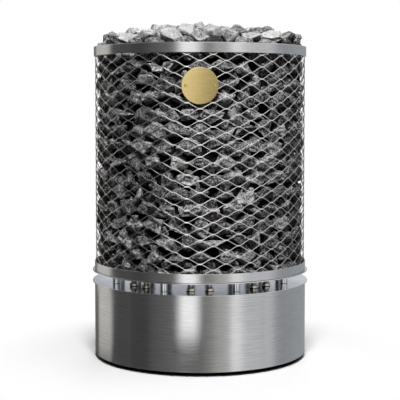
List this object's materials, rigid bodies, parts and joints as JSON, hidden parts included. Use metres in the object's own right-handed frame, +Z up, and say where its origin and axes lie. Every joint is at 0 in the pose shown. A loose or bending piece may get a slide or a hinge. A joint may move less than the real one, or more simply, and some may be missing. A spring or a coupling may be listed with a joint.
{
  "type": "sauna heater",
  "caption": "Round floor-standing electric sauna heater: steel drum base on levelling feet, open air gap with element legs, and an expanded-metal basket of heaped stones.",
  "frame": {"origin": "on the floor under the centre of the heater", "axes": "+Z up, -Y towards the front with the brass plate, +X to the right seen from the front"},
  "size_m": [0.51, 0.51, 0.7865],
  "materials": {
    "brushed_steel": "brushed round the drum",
    "polished_steel": "polished",
    "net_steel": "expanded metal, satin",
    "zinc_steel": "zinc plated",
    "element_steel": "bare tube, slightly warm",
    "black_rubber": "matt black",
    "brass": "fine brushed",
    "stone": "rough, split faces",
    "porcelain": "satin",
    "silicone": "satin sleeve"
  },
  "bodies": {
    "heater": {"base_drum": "brushed_steel", "base_top_plate": "polished_steel", "base_bottom_plate": "zinc_steel", "plinth_ring": "black_rubber", "foot_boss_1": "zinc_steel", "foot_boss_2": "zinc_steel", "foot_boss_3": "zinc_steel", "foot_boss_4": "zinc_steel", "post_1": "polished_steel", "post_2": "polished_steel", "post_3": "polished_steel", "post_4": "polished_steel", "post_5": "polished_steel", "post_6": "polished_steel", "post_7": "polished_steel", "post_8": "polished_steel", "heating_element_1": "element_steel", "heating_element_2": "element_steel", "heating_element_3": "element_steel", "heating_element_4": "element_steel", "heating_element_5": "element_steel", "heating_element_6": "element_steel", "element_nut_1": "zinc_steel", "element_nut_2": "zinc_steel", "element_nut_3": "zinc_steel", "element_nut_4": "zinc_steel", "element_nut_5": "zinc_steel", "element_nut_6": "zinc_steel", "element_nut_7": "zinc_steel", "element_nut_8": "zinc_steel", "element_nut_9": "zinc_steel", "element_nut_10": "zinc_steel", "element_nut_11": "zinc_steel", "element_nut_12": "zinc_steel", "basket_plate": "polished_steel", "lower_band": "brushed_steel", "basket_net": "net_steel", "top_band": "brushed_steel", "stone_bed": "stone", "badge_plate": "brass", "badge_clamp_bar": "zinc_steel", "badge_screw_1": "brass", "badge_screw_2": "brass", "cable_grommet": "black_rubber", "terminal_bracket": "zinc_steel", "terminal_block_1": "porcelain", "terminal_block_2": "porcelain", "wiring_loom": "silicone", "earth_stud": "brass"},
    "foot_1": {"foot_pad_1": "zinc_steel"},
    "foot_2": {"foot_pad_2": "zinc_steel"},
    "foot_3": {"foot_pad_3": "zinc_steel"},
    "foot_4": {"foot_pad_4": "zinc_steel"},
    "stud_1": {"foot_stud_1": "zinc_steel"},
    "stud_2": {"foot_stud_2": "zinc_steel"},
    "stud_3": {"foot_stud_3": "zinc_steel"},
    "stud_4": {"foot_stud_4": "zinc_steel"}
  },
  "joints": [
    {"name": "foot_1_slide", "type": "slide", "parent": "heater", "child": "foot_1", "axis": [0, 0, -1], "range_m": [0, 0.015]},
    {"name": "foot_2_slide", "type": "slide", "parent": "heater", "child": "foot_2", "axis": [0, 0, -1], "range_m": [0, 0.015]},
    {"name": "foot_3_slide", "type": "slide", "parent": "heater", "child": "foot_3", "axis": [0, 0, -1], "range_m": [0, 0.015]},
    {"name": "foot_4_slide", "type": "slide", "parent": "heater", "child": "foot_4", "axis": [0, 0, -1], "range_m": [0, 0.015]},
    {"name": "stud_1_turn", "type": "hinge", "parent": "foot_1", "child": "stud_1", "pos_m": [0.13435, -0.13435, 0], "axis": [0, 0, -1], "range_deg": [0, 3600]},
    {"name": "stud_2_turn", "type": "hinge", "parent": "foot_2", "child": "stud_2", "pos_m": [0.13435, 0.13435, 0], "axis": [0, 0, -1], "range_deg": [0, 3600]},
    {"name": "stud_3_turn", "type": "hinge", "parent": "foot_3", "child": "stud_3", "pos_m": [-0.13435, 0.13435, 0], "axis": [0, 0, -1], "range_deg": [0, 3600]},
    {"name": "stud_4_turn", "type": "hinge", "parent": "foot_4", "child": "stud_4", "pos_m": [-0.13435, -0.13435, 0], "axis": [0, 0, -1], "range_deg": [0, 3600]}
  ],
  "couplings": [
    {"joint": "stud_1_turn", "follows": "foot_1_slide", "rad_per_m": 4188.8},
    {"joint": "stud_2_turn", "follows": "foot_2_slide", "rad_per_m": 4188.8},
    {"joint": "stud_3_turn", "follows": "foot_3_slide", "rad_per_m": 4188.8},
    {"joint": "stud_4_turn", "follows": "foot_4_slide", "rad_per_m": 4188.8}
  ]
}
